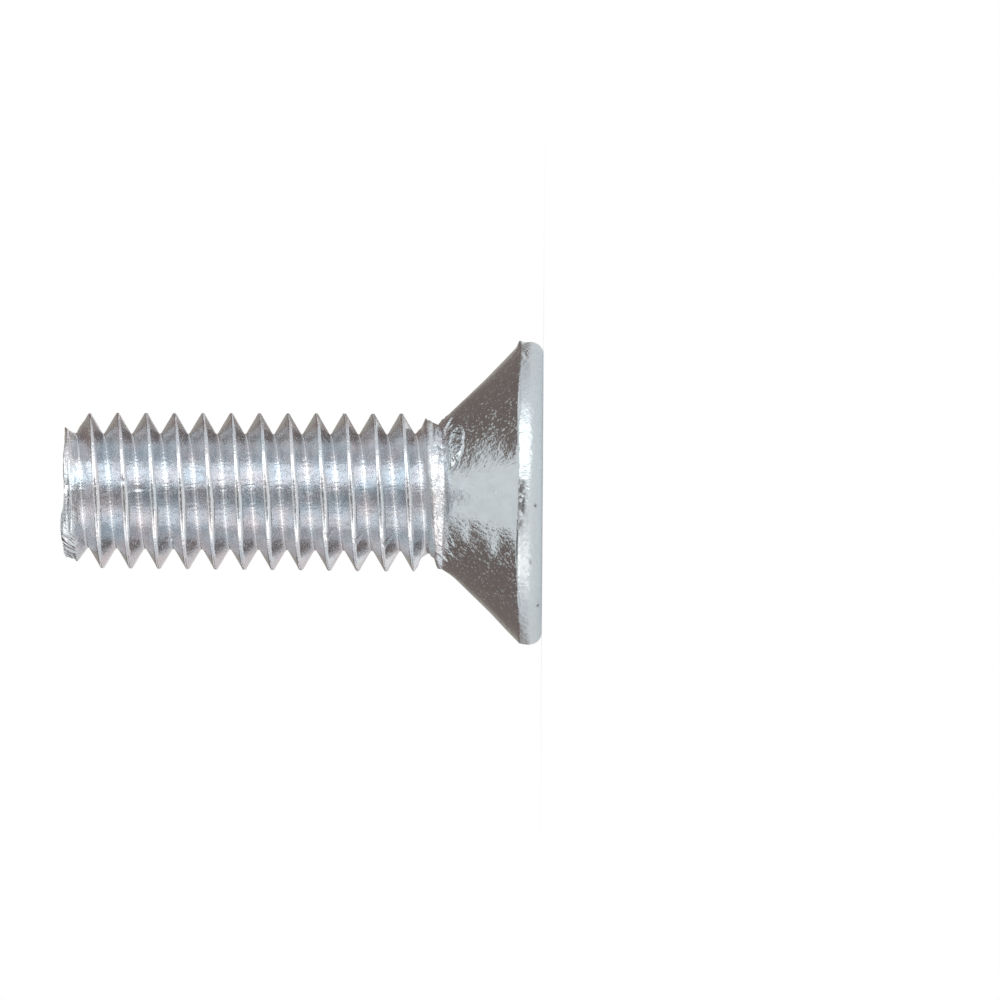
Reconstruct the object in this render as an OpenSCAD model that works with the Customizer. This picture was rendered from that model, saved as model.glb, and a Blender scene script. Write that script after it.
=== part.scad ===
// Countersunk machine screw, M4 x 12, with a 90 degree head and a cross recess.
// It stands on the flat face of its head: Z = 0 is that face, and +Z runs to the point end.

/* [Shank] */
// Length from the flat face of the head to the point end
overall_l = 11.83; // [8:0.01:40]
// Major diameter, over the thread crests
thread_d = 3.9; // [3.8:0.01:4.2]
// Pitch of the thread
thread_pitch = 0.7; // [0.6:0.01:0.8]
// Included angle between two thread flanks
flank_angle = 60; // [55:1:65]
// Width of the land on a crest
crest_w = 0.04; // [0.02:0.01:0.08]
// Width of the floor of a root
root_w = 0.08; // [0.05:0.01:0.12]
// Diameter of the plain collar between the thread and the head
collar_d = 3.64; // [3.5:0.01:3.8]
// Height of the plain collar, from the cone to where the first groove has faded out
collar_h = 0.15; // [0.05:0.01:0.3]
// Length over which the thread runs out towards the collar
runout_l = 0.75; // [0.5:0.01:1.2]

/* [Point end] */
// Diameter of the as-rolled end face
end_d = 3.16; // [3:0.01:3.4]
// Length over which the last crest sinks to the end face
end_l = 0.7; // [0.4:0.01:1]
// Width of the rim around the rolling cup in the end face
cup_rim_w = 0.42; // [0.2:0.01:0.6]
// Depth of the rolling cup
cup_depth = 0.22; // [0.1:0.01:0.4]

/* [Head] */
// Diameter of the head
head_d = 7.48; // [7:0.01:8]
// Height of the rim, from the face to the cone
rim_h = 0.53; // [0.4:0.01:0.8]
// Included angle of the countersunk cone
cone_angle = 90; // [88:1:92]
// Width of the rounding between the face and the rim, across
edge_w = 0.17; // [0.05:0.01:0.25]
// Height of the rounding between the face and the rim
edge_h = 0.3; // [0.1:0.01:0.35]

/* [Recess] */
// Span across two opposite wings of the recess at the face
recess_d = 4.12; // [3.8:0.01:4.4]
// Width of a wing at the face
wing_w = 0.95; // [0.85:0.01:1.05]
// Radius of the inner corners between wings
inner_r = 0.5; // [0.3:0.01:0.6]
// Radius of the two corners at a wing's end
tip_r = 0.08; // [0.04:0.01:0.15]
// Depth of the recess to the floor of its wings
recess_depth = 2.28; // [1.8:0.01:2.4]
// Span across the recess at its floor
floor_d = 1.86; // [1.6:0.01:2]
// Width of a wing at its floor
floor_wing_w = 0.5; // [0.4:0.01:0.6]
// Depth of the shallow cone below the floor
floor_cone_h = 0.16; // [0.05:0.01:0.2]
// Width of the sunk pad's border beyond the wings, at the face
pad_border_w = 0.14; // [0.05:0.01:0.3]
// Width of the slope around the pad
pad_slope_w = 0.28; // [0.1:0.01:0.4]
// Depth of the pad below the face
pad_depth = 0.05; // [0.02:0.01:0.1]

/* [Hidden] */
$fn = 96;
steel = [0.72, 0.76, 0.79];

// Facets of the thread: segments in a turn, and points on an arc of the recess
turn_steps = 40;
arc_steps = 5;
edge_steps = 6;
// How far a cut or a hidden end runs past the surface it meets
pass = 0.2;

head_r = head_d / 2;
collar_r = collar_d / 2;
crest_r = thread_d / 2;
thread_depth = (thread_pitch - crest_w - root_w) / (2 * tan(flank_angle / 2));
root_r = crest_r - thread_depth;
end_r = end_d / 2;
cup_r = end_r - cup_rim_w;
pad_r = recess_d / 2 + pad_border_w;

// Heights on the axis
cone_slope = tan(cone_angle / 2);
collar_z = rim_h + (head_r - collar_r) / cone_slope;
fade_z = collar_z + collar_h;
thread_z = fade_z + runout_l;
ramp_z = overall_l - end_l;

// The head's cone carries on inside the shank down to this radius, to be joined there
core_r = root_r - pass;
core_z = rim_h + (head_r - core_r) / cone_slope;

function mix(a, b, t) = a + (b - a) * min(1, max(0, t));

// Radius of a crest and of a root at height z: full along the thread, and fading at both ends
function crest_at(z) =
    z < thread_z
        ? mix(collar_r, crest_r, (z - fade_z - runout_l / 3) / (runout_l / 2))
        : mix(crest_r, end_r, (z - ramp_z) / end_l);
function root_at(z) =
    z < thread_z
        ? mix(collar_r, root_r, (z - fade_z) / runout_l)
        : mix(root_r, end_r, (z - overall_l + end_l / 2) / (end_l / 2));

// Rows of one pitch, as [place in the pitch, is it on the crest]
thread_rows = [
    [-crest_w / 2, true],
    [crest_w / 2, true],
    [(thread_pitch - root_w) / 2, false],
    [(thread_pitch + root_w) / 2, false],
];
row_count = len(thread_rows);

// The thread is a strip of rows along a right-hand helix, closed by a fan at each end
first_turn = floor((collar_z - pass) / thread_pitch) - 1;
last_turn = ceil(overall_l / thread_pitch) + 1;
turns = last_turn - first_turn;
strip_rows = turns * row_count;

function row_height(row, step) =
    thread_pitch * (first_turn + floor(row / row_count) + step / turn_steps)
        + thread_rows[row % row_count][0];
function row_radius(row, z) = thread_rows[row % row_count][1] ? crest_at(z) : root_at(z);
function thread_point(row, step) =
    let (z = row_height(row, step), r = row_radius(row, z), a = 360 * step / turn_steps)
        [r * cos(a), r * sin(a), z];

// A step past the last one is the first step of the same row, one turn further up
function strip_index(row, step) =
    step < turn_steps ? row * turn_steps + step : (row + row_count) * turn_steps;

module threaded_shank() {
    all_rows = strip_rows + row_count;
    points = concat(
        [for (row = [0:all_rows - 1], step = [0:turn_steps - 1]) thread_point(row, step)],
        [[0, 0, row_height(0, 0)], [0, 0, row_height(strip_rows - 1, turn_steps)]]
    );
    low_centre = all_rows * turn_steps;
    high_centre = low_centre + 1;
    top = strip_rows - 1;
    sides = [
        for (row = [0:top - 1], step = [0:turn_steps - 1])
            each [
                [strip_index(row, step), strip_index(row + 1, step), strip_index(row + 1, step + 1)],
                [strip_index(row, step), strip_index(row + 1, step + 1), strip_index(row, step + 1)],
            ]
    ];
    low_fan = [
        for (step = [0:turn_steps - 1])
            [low_centre, strip_index(0, step), strip_index(0, step + 1)]
    ];
    high_fan = [
        for (step = [0:turn_steps - 1])
            [high_centre, strip_index(top, step + 1), strip_index(top, step)]
    ];
    low_wall = [
        for (row = [0:row_count - 1])
            [low_centre, strip_index(row + 1, 0), strip_index(row, 0)]
    ];
    high_wall = [
        for (row = [top:top + row_count - 1])
            [high_centre, strip_index(row, 0), strip_index(row + 1, 0)]
    ];
    intersection() {
        polyhedron(points, concat(sides, low_fan, high_fan, low_wall, high_wall), convexity = 10);
        translate([0, 0, collar_z - pass]) cylinder(h = overall_l - collar_z + pass, r = head_r);
    }
}

// Solid head: rounded face edge, rim and cone
module head_blank() {
    edge = [
        for (i = [0:edge_steps])
            let (a = 90 * i / edge_steps)
                [head_r - edge_w * (1 - sin(a)), edge_h * (1 - cos(a))]
    ];
    rotate_extrude()
        polygon(concat([[0, 0]], edge, [[head_r, rim_h], [core_r, core_z], [0, core_z]]));
}

// One quarter of the recess outline: the end of a wing, then the inner corner beside it
function wing_quarter(half_span, half_w, corner_r) = concat(
    [
        for (i = [0:2])
            let (a = 45 * i - 90)
                [half_span - tip_r + tip_r * cos(a), tip_r - half_w + tip_r * sin(a)]
    ],
    [
        for (i = [0:2])
            let (a = 45 * i)
                [half_span - tip_r + tip_r * cos(a), half_w - tip_r + tip_r * sin(a)]
    ],
    [
        for (i = [0:arc_steps])
            let (a = -90 - 90 * i / arc_steps)
                [half_w + corner_r + corner_r * cos(a), half_w + corner_r + corner_r * sin(a)]
    ]
);
function turned(points, a) =
    [for (p = points) [p[0] * cos(a) - p[1] * sin(a), p[0] * sin(a) + p[1] * cos(a)]];

// Outline of the recess at height z, which narrows evenly to its floor
function recess_ring(z) =
    let (
        t = z / recess_depth,
        half_span = (recess_d + (floor_d - recess_d) * t) / 2,
        half_w = (wing_w + (floor_wing_w - wing_w) * t) / 2,
        corner_r = min(inner_r, half_span - tip_r - half_w),
        quarter = wing_quarter(half_span, half_w, corner_r)
    )
        [for (k = [0:3], p = turned(quarter, 90 * k)) [p[0], p[1], z]];

module recess_cut() {
    mouth = recess_ring(-pass);
    floor_ring = recess_ring(recess_depth);
    n = len(mouth);
    points = concat(mouth, floor_ring, [[0, 0, -pass], [0, 0, recess_depth + floor_cone_h]]);
    faces = [
        for (i = [0:n - 1])
            let (j = (i + 1) % n)
                each [
                    [i, n + i, n + j],
                    [i, n + j, j],
                    [2 * n, i, j],
                    [2 * n + 1, n + j, n + i],
                ]
    ];
    polyhedron(points, faces, convexity = 6);
}

// Sunk pad that the recess punch leaves around the mouth
module pad_cut() {
    slope = pad_slope_w / pad_depth;
    translate([0, 0, -pass])
        cylinder(h = pass + pad_depth, r1 = pad_r + slope * pass, r2 = pad_r - pad_slope_w);
}

// Cup that thread rolling leaves in the point end
module cup_cut() {
    translate([0, 0, overall_l - cup_depth])
        cylinder(h = 2 * cup_depth, r1 = cup_r / 2, r2 = cup_r * 3 / 2);
}

module screw() {
    color(steel)
        difference() {
            union() {
                head_blank();
                threaded_shank();
            }
            recess_cut();
            pad_cut();
            cup_cut();
        }
}

screw();
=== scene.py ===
import math

import bmesh
import bpy
import numpy as np
from mathutils import Matrix, Vector, noise


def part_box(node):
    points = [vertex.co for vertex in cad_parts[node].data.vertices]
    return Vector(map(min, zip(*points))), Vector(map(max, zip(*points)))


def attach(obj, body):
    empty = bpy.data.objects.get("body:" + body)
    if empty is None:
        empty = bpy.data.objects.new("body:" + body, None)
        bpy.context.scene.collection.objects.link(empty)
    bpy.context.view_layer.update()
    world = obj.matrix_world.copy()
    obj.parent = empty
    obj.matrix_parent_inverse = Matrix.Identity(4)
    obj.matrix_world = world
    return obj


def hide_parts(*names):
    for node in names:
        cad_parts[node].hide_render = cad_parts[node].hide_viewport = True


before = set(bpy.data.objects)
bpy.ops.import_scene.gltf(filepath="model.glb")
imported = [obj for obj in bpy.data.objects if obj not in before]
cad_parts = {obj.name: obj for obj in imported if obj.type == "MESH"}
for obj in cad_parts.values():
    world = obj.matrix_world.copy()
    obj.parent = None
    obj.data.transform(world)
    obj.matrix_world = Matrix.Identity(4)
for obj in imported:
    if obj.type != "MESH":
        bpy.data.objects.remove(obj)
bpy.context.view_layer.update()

# Camera and studio.
# The screw stands on its head, and the photograph shows it lying, head to the right:
# the camera stands level in front of it, turned by a quarter turn, with a long lens.
MM = 0.001
PHOTO_PX = 1000
PX_PER_MM = 40.5
FACE_PX_X = 542.5
AXIS_PX_Y = 493.3
PHOTO_ROLL_DEG = 0.38
LENS_MM = 1000
SENSOR_MM = 36

frame_width = PHOTO_PX / PX_PER_MM * MM
camera_distance = frame_width * LENS_MM / SENSOR_MM
camera_height = (FACE_PX_X - PHOTO_PX / 2) / PX_PER_MM * MM
camera_side = (AXIS_PX_Y - PHOTO_PX / 2) / PX_PER_MM * MM

camera_data = bpy.data.cameras.new("photo_camera")
camera_data.lens = LENS_MM
camera_data.sensor_width = SENSOR_MM
camera_data.clip_start = 0.05
camera_data.clip_end = 20
camera = bpy.data.objects.new("photo_camera", camera_data)
bpy.context.scene.collection.objects.link(camera)
turn = Matrix(((0, 1, 0), (0, 0, -1), (-1, 0, 0))).to_4x4()
roll = Matrix.Rotation(math.radians(PHOTO_ROLL_DEG), 4, "Z")
place = Matrix.Translation((camera_side, -camera_distance, camera_height))
camera.matrix_world = place @ turn @ roll
bpy.context.scene.camera = camera
bpy.context.scene.view_settings.view_transform = "Standard"


def new_nodes(owner):
    """The empty node tree of a material, a world or a light."""
    owner.use_nodes = True
    owner.node_tree.nodes.clear()
    return owner.node_tree


def add_node(tree, kind, inputs=(), **settings):
    """A node with its settings, and its inputs by name or index: a value, or a socket to link."""
    node = tree.nodes.new(kind)
    for name, value in settings.items():
        setattr(node, name, value)
    for name, value in dict(inputs).items():
        if isinstance(value, bpy.types.NodeSocket):
            tree.links.new(value, node.inputs[name])
        else:
            node.inputs[name].default_value = value
    return node


def math_node(tree, operation, *values):
    """The output of a Math node."""
    return add_node(tree, "ShaderNodeMath", enumerate(values), operation=operation).outputs[0]


def seen_ray(tree):
    """1 for rays from the camera, off metal and through glass, and 0 for diffuse light."""
    path = add_node(tree, "ShaderNodeLightPath").outputs
    both = math_node(tree, "MAXIMUM", path["Is Camera Ray"], path["Is Glossy Ray"])
    return math_node(tree, "MAXIMUM", both, path["Is Transmission Ray"])


WORLD_LIGHT = 0.55

world = bpy.data.worlds.new("studio")
bpy.context.scene.world = world
tree = new_nodes(world)
soft = add_node(tree, "ShaderNodeBackground", {"Color": (1, 1, 1, 1), "Strength": WORLD_LIGHT})
white = add_node(tree, "ShaderNodeBackground", {"Color": (1, 1, 1, 1), "Strength": 1})
shades = {0: seen_ray(tree), 1: soft.outputs[0], 2: white.outputs[0]}
mixed = add_node(tree, "ShaderNodeMixShader", shades)
add_node(tree, "ShaderNodeOutputWorld", {0: mixed.outputs[0]})

# Floor: a pale disc that takes the soft shadow, glows a little for the camera, and turns into
# the white backdrop at its edge
FLOOR_R = 0.016
FLOOR_FADE_R = 0.0045
FLOOR_WHITE_R = 0.011
FLOOR_COLOUR = (0.9, 0.9, 0.9, 1)
FLOOR_GLOW = 0.33

floor_mesh = bpy.data.meshes.new("floor")
form = bmesh.new()
bmesh.ops.create_circle(form, cap_ends=True, segments=96, radius=FLOOR_R)
form.to_mesh(floor_mesh)
form.free()
floor = bpy.data.objects.new("floor", floor_mesh)
bpy.context.scene.collection.objects.link(floor)
floor_paint = bpy.data.materials.new("floor_paint")
tree = new_nodes(floor_paint)
spot = add_node(tree, "ShaderNodeTexCoord").outputs["Object"]
reach = add_node(tree, "ShaderNodeVectorMath", {0: spot}, operation="LENGTH").outputs["Value"]
fade = add_node(
    tree,
    "ShaderNodeMapRange",
    {"Value": reach, "From Min": FLOOR_FADE_R, "From Max": FLOOR_WHITE_R},
    interpolation_type="SMOOTHSTEP",
)
fade = math_node(tree, "MULTIPLY", fade.outputs[0], seen_ray(tree))
pale = add_node(tree, "ShaderNodeBsdfDiffuse", {"Color": FLOOR_COLOUR})
glow_strength = math_node(tree, "MULTIPLY", seen_ray(tree), FLOOR_GLOW)
glow = add_node(tree, "ShaderNodeEmission", {"Strength": glow_strength})
lifted = add_node(tree, "ShaderNodeAddShader", {0: pale.outputs[0], 1: glow.outputs[0]})
white = add_node(tree, "ShaderNodeEmission", {"Color": (1, 1, 1, 1), "Strength": 1})
mixed = add_node(tree, "ShaderNodeMixShader", {0: fade, 1: lifted.outputs[0], 2: white.outputs[0]})
add_node(tree, "ShaderNodeOutputMaterial", {0: mixed.outputs[0]})
floor_mesh.materials.append(floor_paint)

# Softboxes: the key light leaves the long bluish band along the thread, and the fill the
# pinkish one below it
SOFTBOX_ELEVATION = 8
SOFTBOX_DISTANCE = 0.5
SOFTBOX_SIZE = (0.38, 0.5)
KEY_AZIMUTH = 36
KEY_RADIANCE = 1.95
KEY_TINT = (0.96, 1, 0.99)
FILL_AZIMUTH = -55
FILL_RADIANCE = 1.2
FILL_TINT = (1, 0.96, 0.92)


def softbox(name, azimuth, radiance, tint):
    """An area lamp that faces the screw. Azimuth 0 is the side of the camera, and 90 that of +X."""
    width, height = SOFTBOX_SIZE
    lamp = bpy.data.lights.new(name, "AREA")
    lamp.shape = "RECTANGLE"
    lamp.size = width
    lamp.size_y = height
    lamp.energy = radiance * math.pi * width * height
    lamp.color = tint
    box = bpy.data.objects.new(name, lamp)
    a, e = math.radians(azimuth), math.radians(SOFTBOX_ELEVATION)
    out = Vector((math.sin(a) * math.cos(e), -math.cos(a) * math.cos(e), math.sin(e)))
    facing = out.to_track_quat("Z", "Y").to_matrix().to_4x4()
    box.matrix_world = Matrix.Translation(out * SOFTBOX_DISTANCE) @ facing
    box.visible_camera = False
    bpy.context.scene.collection.objects.link(box)


softbox("key_softbox", KEY_AZIMUTH, KEY_RADIANCE, KEY_TINT)
softbox("fill_softbox", FILL_AZIMUTH, FILL_RADIANCE, FILL_TINT)

# Flags: cards seen only by the metal, which give it its darker bands. Azimuths and elevations
# are in degrees.
SIDE_FLAG_COLOUR = (0.24, 0.19, 0.175, 1)
LENS_FLAG_COLOUR = (0.52, 0.49, 0.47, 1)
BACK_FLAG_COLOUR = (0.42, 0.39, 0.35, 1)
LOW_FLAG_COLOUR = (0.34, 0.3, 0.28, 1)
PALE_FLAG_COLOUR = (0.72, 0.66, 0.66, 1)
FILL_FLAG_COLOUR = (0.22, 0.22, 0.22, 1)
GREY_FLAG_COLOUR = (0.76, 0.77, 0.8, 1)
FLAG_DISTANCE = 0.9
FLAG_STEPS = 24
LOW_FLAG_SPAN = ((0.012, 0.0002), (0.058, 0.0002))
LENS_FLAG_SPAN = ((0.02, 0.0042), (0.02, 0.06))


def high_span(low_elevation, high_elevation):
    """Reach and height of a far card's two edges, from their elevations in degrees."""
    turns = [math.radians(elevation) for elevation in (low_elevation, high_elevation)]
    return [(FLAG_DISTANCE * math.cos(turn), FLAG_DISTANCE * math.sin(turn)) for turn in turns]


def flag(name, azimuths, span, colour, last_span=None):
    """A card bent round the screw, between two azimuths and two edges of given reach and height.

    Its edges run from span at the first azimuth to last_span at the second one.
    """
    last_span = last_span or span
    paint = bpy.data.materials.new(name)
    tree = new_nodes(paint)
    shade = add_node(tree, "ShaderNodeEmission", {"Color": colour, "Strength": 1})
    add_node(tree, "ShaderNodeOutputMaterial", {0: shade.outputs[0]})
    form = bmesh.new()
    rows = []
    for i in range(FLAG_STEPS + 1):
        share = i / FLAG_STEPS
        a = math.radians(azimuths[0] + (azimuths[1] - azimuths[0]) * share)
        row = []
        for start, end in zip(span, last_span):
            far, up = (start[k] + (end[k] - start[k]) * share for k in range(2))
            row.append(form.verts.new((math.sin(a) * far, -math.cos(a) * far, up)))
        rows.append(row)
    for near, far in zip(rows, rows[1:]):
        form.faces.new((near[0], near[1], far[1], far[0]))
    mesh = bpy.data.meshes.new(name)
    form.to_mesh(mesh)
    form.free()
    mesh.materials.append(paint)
    card = bpy.data.objects.new(name, mesh)
    for ray in ("camera", "diffuse", "shadow", "transmission", "volume_scatter"):
        setattr(card, "visible_" + ray, False)
    bpy.context.scene.collection.objects.link(card)


flag("right_flag", (114, 166), high_span(9, 70), SIDE_FLAG_COLOUR, high_span(-3, 70))
flag("left_flag", (-166, -115), high_span(-3, 68.5), SIDE_FLAG_COLOUR, high_span(9, 68.5))
flag("right_top_flag", (112, 166), high_span(50, 75), SIDE_FLAG_COLOUR)
flag("left_top_flag", (-166, -113), high_span(50, 70), SIDE_FLAG_COLOUR)
flag("fill_flag", (-82, -30), high_span(12, 68), FILL_FLAG_COLOUR)
flag("right_grey_flag", (62, 114), high_span(-25, 26), GREY_FLAG_COLOUR)
flag("left_grey_flag", (-114, -80), high_span(-25, 26), GREY_FLAG_COLOUR)
flag("back_flag", (166, 194), high_span(-3, 69), BACK_FLAG_COLOUR)
flag("lens_flag", (-22, 10), LENS_FLAG_SPAN, LENS_FLAG_COLOUR)
flag("low_right_flag", (114, 182), LOW_FLAG_SPAN, LOW_FLAG_COLOUR)
flag("low_left_flag", (-178, -114), LOW_FLAG_SPAN, PALE_FLAG_COLOUR)

# Threaded shank.
# Rolled between dies on a plain wire shank: a right-hand metric thread with sharp crests,
# which fades into the plain collar under the head and sinks away at the point end.
PITCH = 0.7 * MM
FLANK_DEG = 60
CREST_W = 0.055 * MM
CREST_ROUND = 0.03 * MM
ROOT_W = 0.05 * MM
ROOT_ROUND = 0.04 * MM
CREST_D = 3.9 * MM
COLLAR_D = 3.64 * MM
CREST_FADE_H = 0.3 * MM
CREST_FADE_L = 0.4 * MM
RUNOUT_L = 0.25 * MM
RUNOUT_R = 1.5 * MM
FULL_DEPTH_H = 1.0 * MM
LAND_SHARE = 0.33
LAND_END_H = 0.4 * MM
LAND_FADE_L = 0.2 * MM
END_D = 3.16 * MM
END_L = 0.7 * MM
COLUMNS = 176
ROWS_PER_TURN = 24
WELD_GAP = 0.0005 * MM
RIM_H = 0.53 * MM

low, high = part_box("screw")
head_r = high[0]
overall_l = high[2]
collar_r = COLLAR_D / 2
collar_z = RIM_H + head_r - collar_r
first_turn = math.floor(collar_z / PITCH) - 1
turns = math.ceil(overall_l / PITCH) + 1 - first_turn

thread_tree = bpy.data.node_groups.new("rolled_thread", "GeometryNodeTree")
thread_inputs = {
    "Columns": COLUMNS,
    "Rows per turn": ROWS_PER_TURN,
    "Turns": turns,
    "First turn": first_turn,
    "Pitch": PITCH,
    "Crest radius": CREST_D / 2,
    "Crest width": CREST_W,
    "Crest rounding": CREST_ROUND,
    "Root width": ROOT_W,
    "Root rounding": ROOT_ROUND,
    "Flank slope": 1 / math.tan(math.radians(FLANK_DEG / 2)),
    "Collar radius": collar_r,
    "Crest fade start": collar_z + CREST_FADE_H,
    "Crest fade length": CREST_FADE_L,
    "Run-out length": RUNOUT_L,
    "Run-out radius": RUNOUT_R,
    "Full depth height": collar_z + FULL_DEPTH_H,
    "Land share": LAND_SHARE,
    "Land end": collar_z + LAND_END_H,
    "Land fade length": LAND_FADE_L,
    "Low end": collar_z,
    "End radius": END_D / 2,
    "End length": END_L,
    "High end": overall_l,
}
for name, value in thread_inputs.items():
    kind = "NodeSocketInt" if isinstance(value, int) else "NodeSocketFloat"
    thread_tree.interface.new_socket(name, in_out="INPUT", socket_type=kind)
thread_tree.interface.new_socket("Material", in_out="INPUT", socket_type="NodeSocketMaterial")
thread_tree.interface.new_socket("Thread", in_out="OUTPUT", socket_type="NodeSocketGeometry")


def thread_node(kind, inputs=(), **settings):
    """A node of the thread's tree."""
    return add_node(thread_tree, kind, inputs, **settings)


def calc(operation, *values):
    """The output of a Math node in the thread's tree."""
    return math_node(thread_tree, operation, *values)


def ramp(value, start, end, low_value, high_value):
    """A smooth rise from one value at start to another at end."""
    return thread_node(
        "ShaderNodeMapRange",
        {"Value": value, "From Min": start, "From Max": end, "To Min": low_value, "To Max": high_value},
        interpolation_type="SMOOTHSTEP",
    ).outputs[0]


given = thread_node("NodeGroupInput").outputs
rows = calc("MULTIPLY", given["Rows per turn"], given["Turns"])
grid = thread_node(
    "GeometryNodeMeshGrid",
    {
        "Size X": 1.0,
        "Size Y": 1.0,
        "Vertices X": calc("ADD", given["Columns"], 1),
        "Vertices Y": calc("ADD", rows, 1),
    },
)
grid_place = thread_node("GeometryNodeInputPosition").outputs[0]
spot = thread_node("ShaderNodeSeparateXYZ", {0: grid_place}).outputs
round_share = calc("ADD", spot["X"], 0.5)
turn_count = calc("MULTIPLY", calc("ADD", spot["Y"], 0.5), given["Turns"])

# Rows crowd round the crests and roots, where the profile bends, and few lie on the straight
# flanks. Each pair is a share of the rows and its share of the way from crest to root.
ROW_SPREAD = ((4 / 12, 0.137), (6 / 12, 0.263), (7 / 12, 0.6), (8 / 12, 0.77), (9 / 12, 0.857))
half_turns = calc("MULTIPLY", turn_count, 2.0)
share = calc("PINGPONG", half_turns, 1.0)
spread = thread_node("ShaderNodeFloatCurve", {"Value": share})
curve = spread.mapping.curves[0]
for place in ROW_SPREAD:
    curve.points.new(*place)
for point in curve.points:
    point.handle_type = "VECTOR"
spread.mapping.update()
from_crest = spread.outputs[0]
falling = calc("FLOORED_MODULO", calc("FLOOR", half_turns), 2.0)
mirrored = calc("SUBTRACT", 1.0, calc("MULTIPLY", from_crest, 2.0))
rise = calc("ADD", from_crest, calc("MULTIPLY", falling, mirrored))
row_turn = calc("MULTIPLY", calc("ADD", calc("FLOOR", half_turns), rise), 0.5)
lift = calc("ADD", calc("ADD", row_turn, round_share), given["First turn"])
height = calc("MULTIPLY", lift, given["Pitch"])
height = calc("MINIMUM", calc("MAXIMUM", height, given["Low end"]), given["High end"])

# Depth of the groove from the distance to the nearest crest, rounded at crest and root
down = calc("MULTIPLY", calc("MULTIPLY", from_crest, given["Pitch"]), 0.5)
down = calc("SUBTRACT", down, calc("MULTIPLY", given["Crest width"], 0.5))
down = calc("MULTIPLY", down, given["Flank slope"])
flank_w = calc("SUBTRACT", calc("SUBTRACT", given["Pitch"], given["Crest width"]), given["Root width"])
depth = calc("MULTIPLY", calc("MULTIPLY", flank_w, 0.5), given["Flank slope"])
down = calc("SMOOTH_MAX", down, 0.0, given["Crest rounding"])
down = calc("SMOOTH_MIN", down, depth, given["Root rounding"])
groove = calc("DIVIDE", down, depth)

# Next to the collar the dies have left a land beside the groove
land_to = calc("ADD", given["Land end"], given["Land fade length"])
land_fall = ramp(height, given["Land end"], land_to, 0.0, given["Land share"])
land = calc("SUBTRACT", given["Land share"], land_fall)
below_land = calc("MAXIMUM", calc("SUBTRACT", groove, land), 0.0)
groove = calc("DIVIDE", below_land, calc("SUBTRACT", 1.0, land))

# Crest and root both fade into the collar below and into the end face above
crest_to = calc("ADD", given["Crest fade start"], given["Crest fade length"])
crest = ramp(height, given["Crest fade start"], crest_to, given["Collar radius"], given["Crest radius"])
ramp_from = calc("SUBTRACT", given["High end"], given["End length"])
crest_drop = calc("SUBTRACT", given["Crest radius"], given["End radius"])
crest = calc("SUBTRACT", crest, ramp(height, ramp_from, given["High end"], 0.0, crest_drop))
root_r = calc("SUBTRACT", given["Crest radius"], depth)
root_to = calc("ADD", given["Low end"], given["Run-out length"])
root = ramp(height, given["Low end"], root_to, given["Collar radius"], given["Run-out radius"])
root_deeper = calc("SUBTRACT", given["Run-out radius"], root_r)
root = calc("SUBTRACT", root, ramp(height, root_to, given["Full depth height"], 0.0, root_deeper))
root_from = calc("SUBTRACT", given["High end"], calc("MULTIPLY", given["End length"], 0.5))
root_lift = calc("SUBTRACT", given["End radius"], root_r)
root = calc("ADD", root, ramp(height, root_from, given["High end"], 0.0, root_lift))
drop = calc("MULTIPLY", calc("SUBTRACT", crest, root), groove)
radius = calc("SUBTRACT", crest, drop)

angle = calc("MULTIPLY", round_share, 2 * math.pi)
target = thread_node(
    "ShaderNodeCombineXYZ",
    {
        0: calc("MULTIPLY", radius, calc("COSINE", angle)),
        1: calc("MULTIPLY", radius, calc("SINE", angle)),
        2: height,
    },
)
places = {"Geometry": grid.outputs["Mesh"], "Position": target.outputs[0]}
wound = thread_node("GeometryNodeSetPosition", places)
weld = {"Geometry": wound.outputs[0], "Distance": WELD_GAP}
welded = thread_node("GeometryNodeMergeByDistance", weld)
real = thread_node("GeometryNodeRealizeInstances", {"Geometry": welded.outputs[0]})
finish = {"Geometry": real.outputs[0], "Material": given["Material"]}
finished = thread_node("GeometryNodeSetMaterial", finish)
thread_node("NodeGroupOutput", {"Thread": finished.outputs[0]})

plating = bpy.data.materials.new("zinc_plating")
seed_mesh = bpy.data.meshes.new("thread_seed")
seed = bpy.data.objects.new("thread_seed", seed_mesh)
bpy.context.scene.collection.objects.link(seed)
roller = seed.modifiers.new("rolled_thread", "NODES")
roller.node_group = thread_tree
for item in thread_tree.interface.items_tree:
    if item.in_out == "INPUT":
        roller[item.identifier] = plating if item.name == "Material" else thread_inputs[item.name]
evaluated = seed.evaluated_get(bpy.context.evaluated_depsgraph_get())
thread_mesh = bpy.data.meshes.new_from_object(evaluated)
seed.modifiers.remove(roller)
bpy.data.objects.remove(seed)

# Head and recess.
# Upset from the same wire between dies: a 90 degree cone under a short rim, a flat face
# with a rounded edge, and a cross recess struck by a punch, which leaves a sunk pad round it.
RIM_EDGE_H = 0.56 * MM
RIM_BELLY_H = 0.33 * MM
EDGE_W = 0.29 * MM
RECESS_D = 4.12 * MM
WING_W = 0.95 * MM
INNER_R = 0.5 * MM
TIP_R = 0.08 * MM
RECESS_DEPTH = 2.28 * MM
FLOOR_D = 1.86 * MM
FLOOR_WING_W = 0.5 * MM
FLOOR_CONE_H = 0.16 * MM
PAD_BORDER_W = 0.14 * MM
PAD_SLOPE_W = 0.28 * MM
PAD_DEPTH = 0.05 * MM
PAD_MARGIN = 0.04 * MM
LIP_R = 0.04 * MM

# Points of one eighth of the recess outline: half a wing's end, its corner, its side, and the
# whole inner corner, of which an eighth has half
END_STEPS = 4
CORNER_STEPS = 5
SIDE_STEPS = 8
ARC_STEPS = 10


def ring(radius, z):
    """A level circle with one point for each column."""
    a = np.arange(COLUMNS) * 2 * math.pi / COLUMNS
    return np.stack([radius * np.cos(a), radius * np.sin(a), np.full(COLUMNS, z)], axis=1)


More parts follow.
